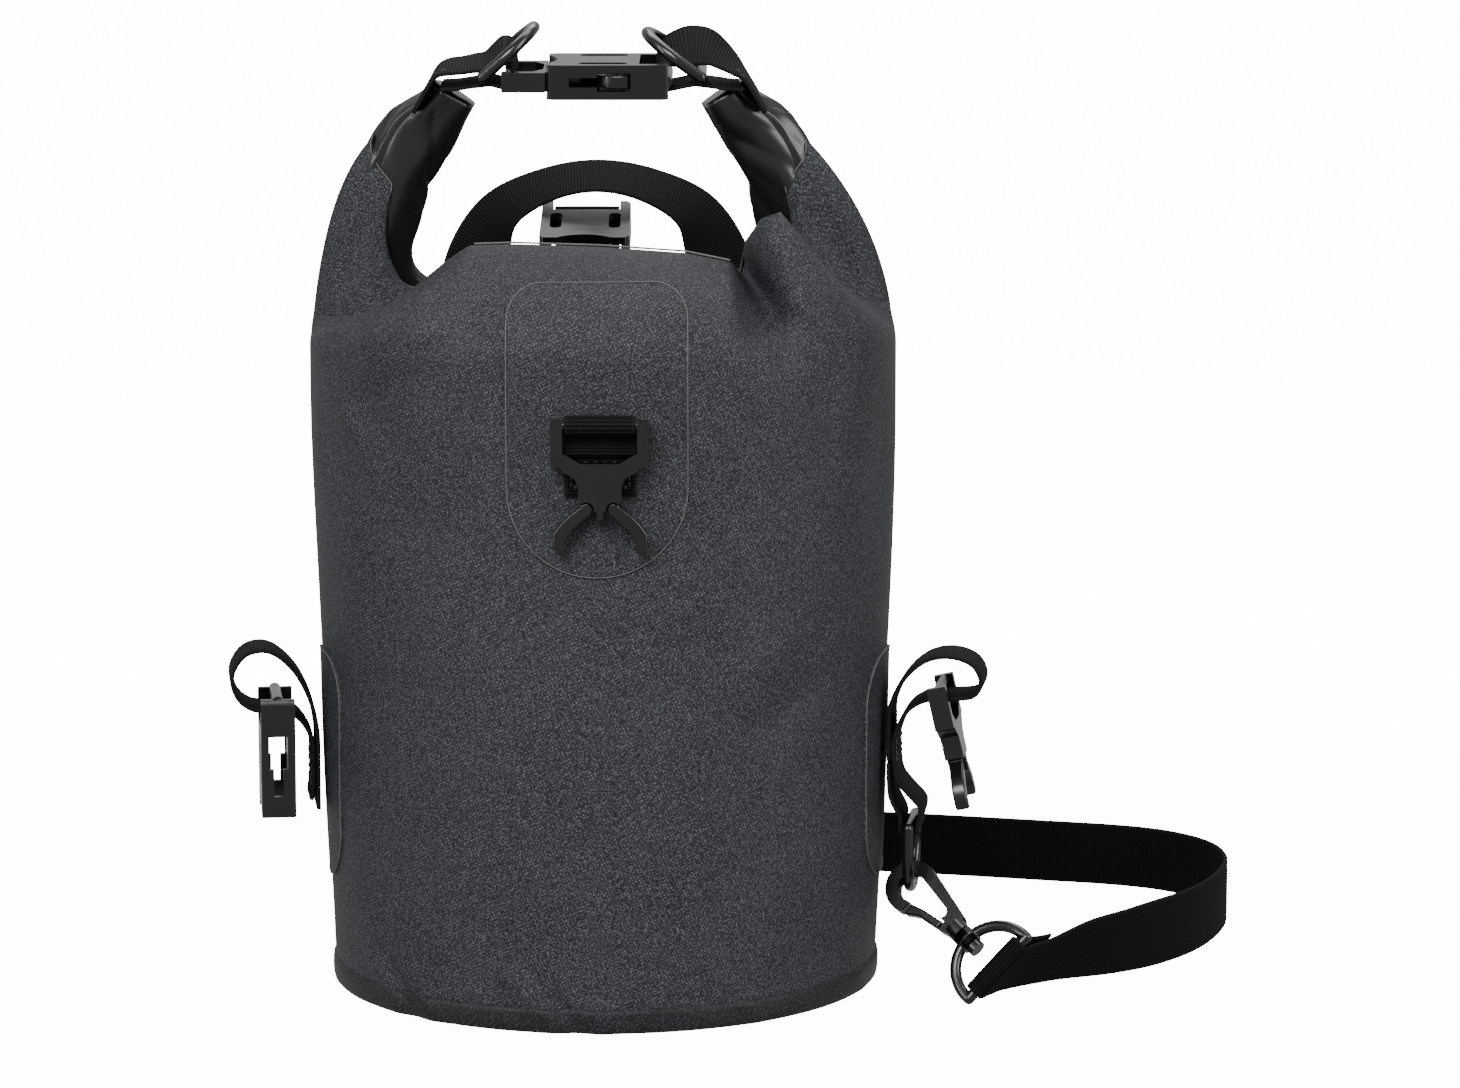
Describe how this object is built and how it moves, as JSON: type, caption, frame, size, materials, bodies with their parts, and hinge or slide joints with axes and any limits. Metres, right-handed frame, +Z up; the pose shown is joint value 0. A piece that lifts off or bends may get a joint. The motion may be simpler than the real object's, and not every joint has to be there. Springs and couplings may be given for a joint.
{
  "type": "roll-top rope storage bag",
  "caption": "Round-based coated fabric bag with a rolled and buckled top, web tabs, D-rings, a carrying handle and a clip-on shoulder strap.",
  "frame": {"origin": "centre of the round base, on the floor the bag stands on", "axes": "+Z up, the front with its buckle tab faces -Y, +X is to the viewer's right"},
  "size_m": [0.3794, 0.2789, 0.3532],
  "materials": {
    "coated_fabric": "fine woven polyester with a matt coating",
    "welded_patch": "same fabric, welded on with a thin bright edge",
    "webbing": "ribbed black polyester webbing",
    "buckle_plastic": "satin black moulded acetal",
    "ring_plastic": "smooth black moulded plastic"
  },
  "bodies": {
    "bag": {"bag_tube": "coated_fabric", "bag_top": "coated_fabric", "base_disc": "coated_fabric", "base_hem": "welded_patch", "front_patch": "welded_patch", "back_patch": "welded_patch", "left_patch": "welded_patch", "right_patch": "welded_patch", "front_tab": "webbing", "left_side_web": "webbing", "right_side_web": "webbing", "rear_strap": "webbing", "handle_left_anchor": "webbing", "handle_right_anchor": "webbing", "right_tail": "webbing", "top_female_buckle": "buckle_plastic", "shoulder_strap": "webbing", "swivel_eye": "ring_plastic"},
    "closure_left_end": {"left_roll_end": "coated_fabric", "left_tail": "webbing", "top_male_buckle": "buckle_plastic"},
    "top_prong_front": {"top_male_prong_front": "buckle_plastic"},
    "top_prong_rear": {"top_male_prong_rear": "buckle_plastic"},
    "left_ring": {"left_top_d_ring": "ring_plastic"},
    "right_ring": {"right_top_d_ring": "ring_plastic"},
    "front_male": {"front_male_buckle": "buckle_plastic"},
    "front_prong_left": {"front_male_prong_left": "buckle_plastic"},
    "front_prong_right": {"front_male_prong_right": "buckle_plastic"},
    "rear_female": {"rear_female_buckle": "buckle_plastic"},
    "left_female": {"left_female_buckle": "buckle_plastic"},
    "right_male": {"right_male_buckle": "buckle_plastic"},
    "side_prong_front": {"right_male_prong_front": "buckle_plastic"},
    "side_prong_rear": {"right_male_prong_rear": "buckle_plastic"},
    "handle": {"handle": "webbing"},
    "side_ring": {"side_d_ring": "ring_plastic"},
    "snap_hook": {"snap_hook": "ring_plastic"},
    "hook_gate": {"snap_hook_gate": "ring_plastic"}
  },
  "joints": [
    {"name": "closure_release", "type": "slide", "parent": "bag", "child": "closure_left_end", "axis": [-1, 0, 0], "range_m": [0, 0.034], "deforming": ["top_male_prong_front", "top_male_prong_rear"]},
    {"name": "top_prong_squeeze", "type": "hinge", "parent": "closure_left_end", "child": "top_prong_front", "pos_m": [-0.0047, -0.02267, 0.33151], "axis": [0, -0.1045, 0.9945], "range_deg": [0, 8], "stiffness_Nm_per_rad": 0.05},
    {"name": "top_prong_squeeze_rear", "type": "hinge", "parent": "closure_left_end", "child": "top_prong_rear", "pos_m": [-0.0047, -0.01333, 0.33249], "axis": [0, 0.1045, -0.9945], "range_deg": [0, 8], "stiffness_Nm_per_rad": 0.05},
    {"name": "front_prong_squeeze", "type": "hinge", "parent": "front_male", "child": "front_prong_left", "pos_m": [-0.0034, -0.0995, 0.1862], "axis": [0, -1, 0], "range_deg": [0, 8], "stiffness_Nm_per_rad": 0.05},
    {"name": "front_prong_squeeze_right", "type": "hinge", "parent": "front_male", "child": "front_prong_right", "pos_m": [0.006, -0.0995, 0.1862], "axis": [0, 1, 0], "range_deg": [0, 8], "stiffness_Nm_per_rad": 0.05},
    {"name": "side_prong_squeeze", "type": "hinge", "parent": "right_male", "child": "side_prong_rear", "pos_m": [0.13016, -0.01355, 0.08232], "axis": [-0.9657, 0.1357, -0.2215], "range_deg": [0, 8], "stiffness_Nm_per_rad": 0.05},
    {"name": "side_prong_squeeze_front", "type": "hinge", "parent": "right_male", "child": "side_prong_front", "pos_m": [0.12885, -0.02286, 0.08232], "axis": [0.9657, -0.1357, 0.2215], "range_deg": [0, 8], "stiffness_Nm_per_rad": 0.05},
    {"name": "left_ring_swing", "type": "hinge", "parent": "closure_left_end", "child": "left_ring", "pos_m": [-0.0418, -0.01817, 0.33359], "axis": [0, -0.9945, -0.1045], "range_deg": [0, 70]},
    {"name": "right_ring_swing", "type": "hinge", "parent": "bag", "child": "right_ring", "pos_m": [0.0358, -0.01817, 0.33359], "axis": [0, 0.9945, 0.1045], "range_deg": [0, 70]},
    {"name": "front_male_flap", "type": "hinge", "parent": "bag", "child": "front_male", "pos_m": [0.0013, -0.0995, 0.215], "axis": [-1, 0, 0], "range_deg": [0, 90]},
    {"name": "rear_female_swing", "type": "hinge", "parent": "bag", "child": "rear_female", "pos_m": [-0.009, 0.096, 0.2744], "axis": [-1, 0, 0], "range_deg": [-3, 2]},
    {"name": "left_female_swing", "type": "hinge", "parent": "bag", "child": "left_female", "pos_m": [-0.12002, -0.01687, 0.1066], "axis": [-0.1392, 0.9903, 0], "range_deg": [-4, 20]},
    {"name": "right_male_swing", "type": "hinge", "parent": "bag", "child": "right_male", "pos_m": [0.12319, -0.01731, 0.1104], "axis": [-0.1392, -0.9903, 0], "range_deg": [-12, 15]},
    {"name": "handle_fold", "type": "hinge", "parent": "bag", "child": "handle", "pos_m": [-0.005, 0.095, 0.234], "axis": [-1, 0, 0], "range_deg": [0, 70]},
    {"name": "side_ring_swing", "type": "hinge", "parent": "bag", "child": "side_ring", "pos_m": [0.11289, -0.01587, 0.0595], "axis": [-0.1392, -0.9903, 0], "range_deg": [0, 2]},
    {"name": "hook_swivel", "type": "hinge", "parent": "bag", "child": "snap_hook", "pos_m": [0.143, -0.047, 0.0116], "axis": [-0.6419, 0.5715, 0.5112], "range_deg": [-5, 5]},
    {"name": "gate_open", "type": "hinge", "parent": "snap_hook", "child": "hook_gate", "pos_m": [0.12258, -0.03118, 0.02382], "axis": [0.3453, 0.8107, -0.4728], "range_deg": [0, 8], "stiffness_Nm_per_rad": 0.05}
  ],
  "couplings": [
    {"joint": "top_prong_squeeze_rear", "follows": "top_prong_squeeze", "ratio": 1},
    {"joint": "front_prong_squeeze_right", "follows": "front_prong_squeeze", "ratio": 1},
    {"joint": "side_prong_squeeze_front", "follows": "side_prong_squeeze", "ratio": 1}
  ]
}
